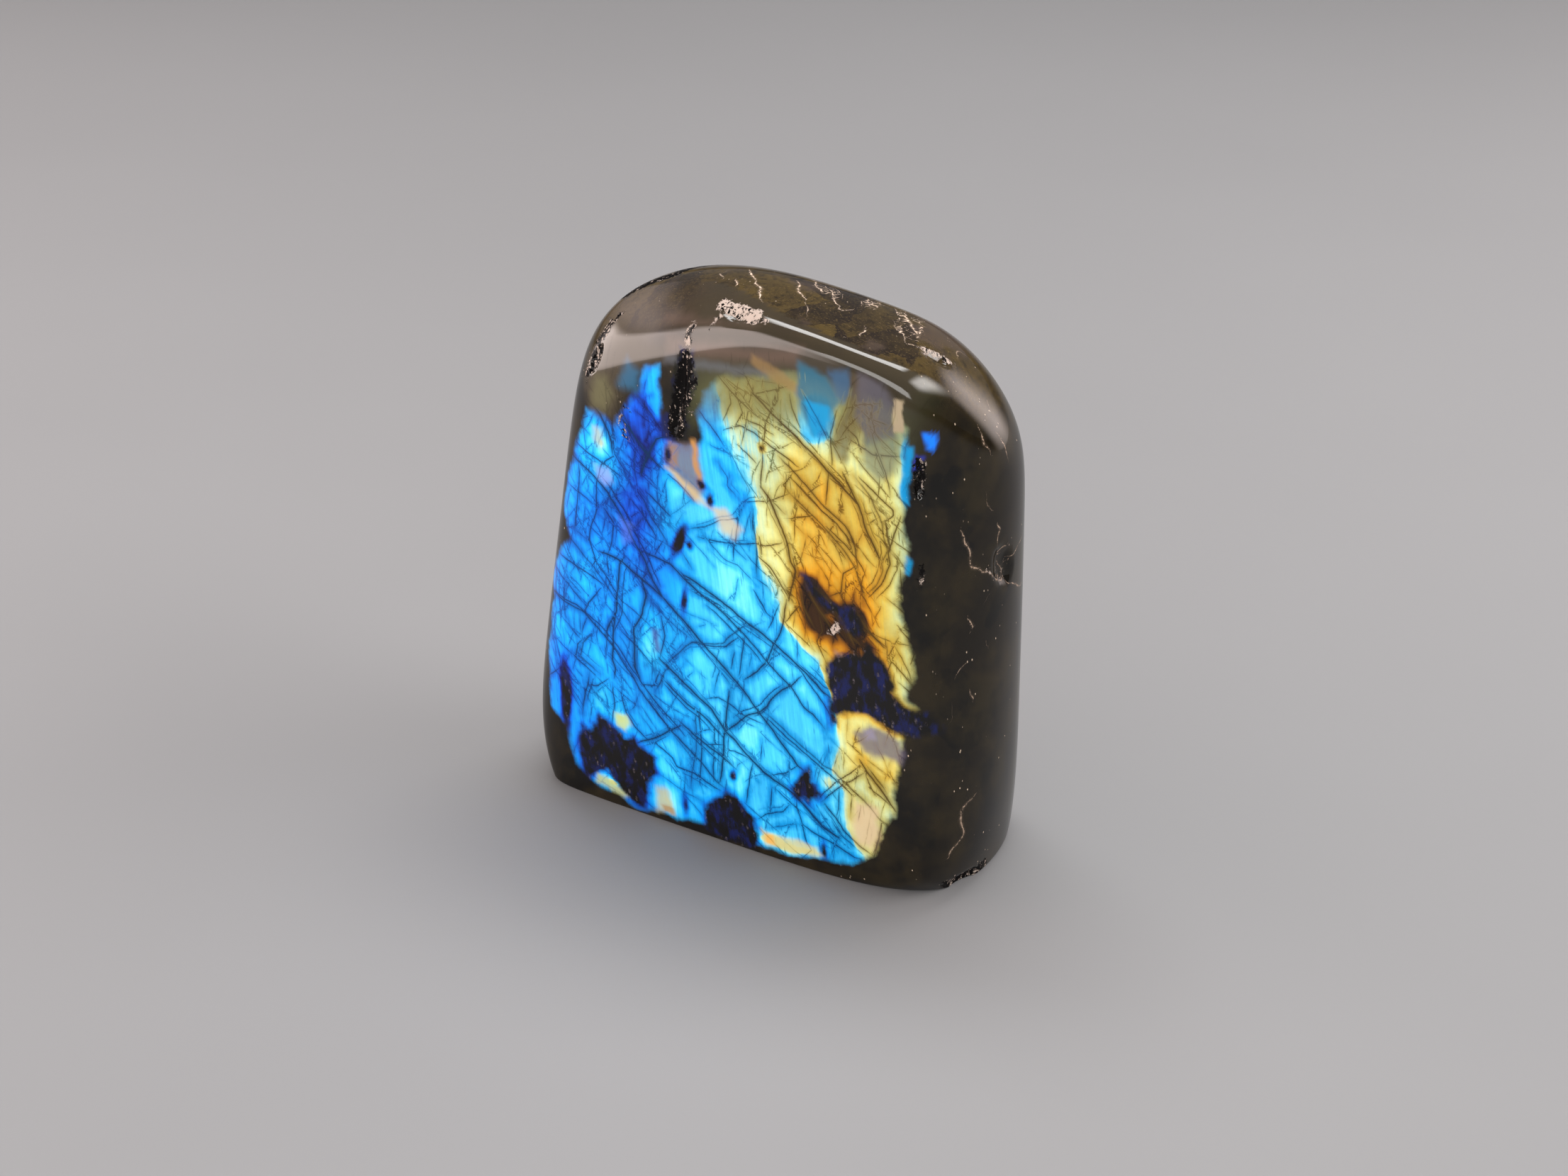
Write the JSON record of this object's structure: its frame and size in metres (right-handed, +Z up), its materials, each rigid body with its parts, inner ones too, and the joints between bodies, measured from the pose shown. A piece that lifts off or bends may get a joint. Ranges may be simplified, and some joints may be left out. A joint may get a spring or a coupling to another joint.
{
  "type": "polished labradorite freeform stone",
  "caption": "Hand-sized slab of dark feldspar, polished all over with soft edges and a blue and gold flash on its front, sawn flat underneath to stand upright",
  "frame": {"origin": "middle of the bounding box's underside, on the flat sawn base", "axes": "+Z up out of the base, the front with the flash faces -Y, +X to the right of someone who looks at the front"},
  "size_m": [0.0904, 0.0404, 0.1012],
  "materials": {
    "stone": "polished, glassy, with blue, cyan and gold flash on the front"
  },
  "bodies": {
    "root": {"stone": "stone"}
  },
  "joints": []
}
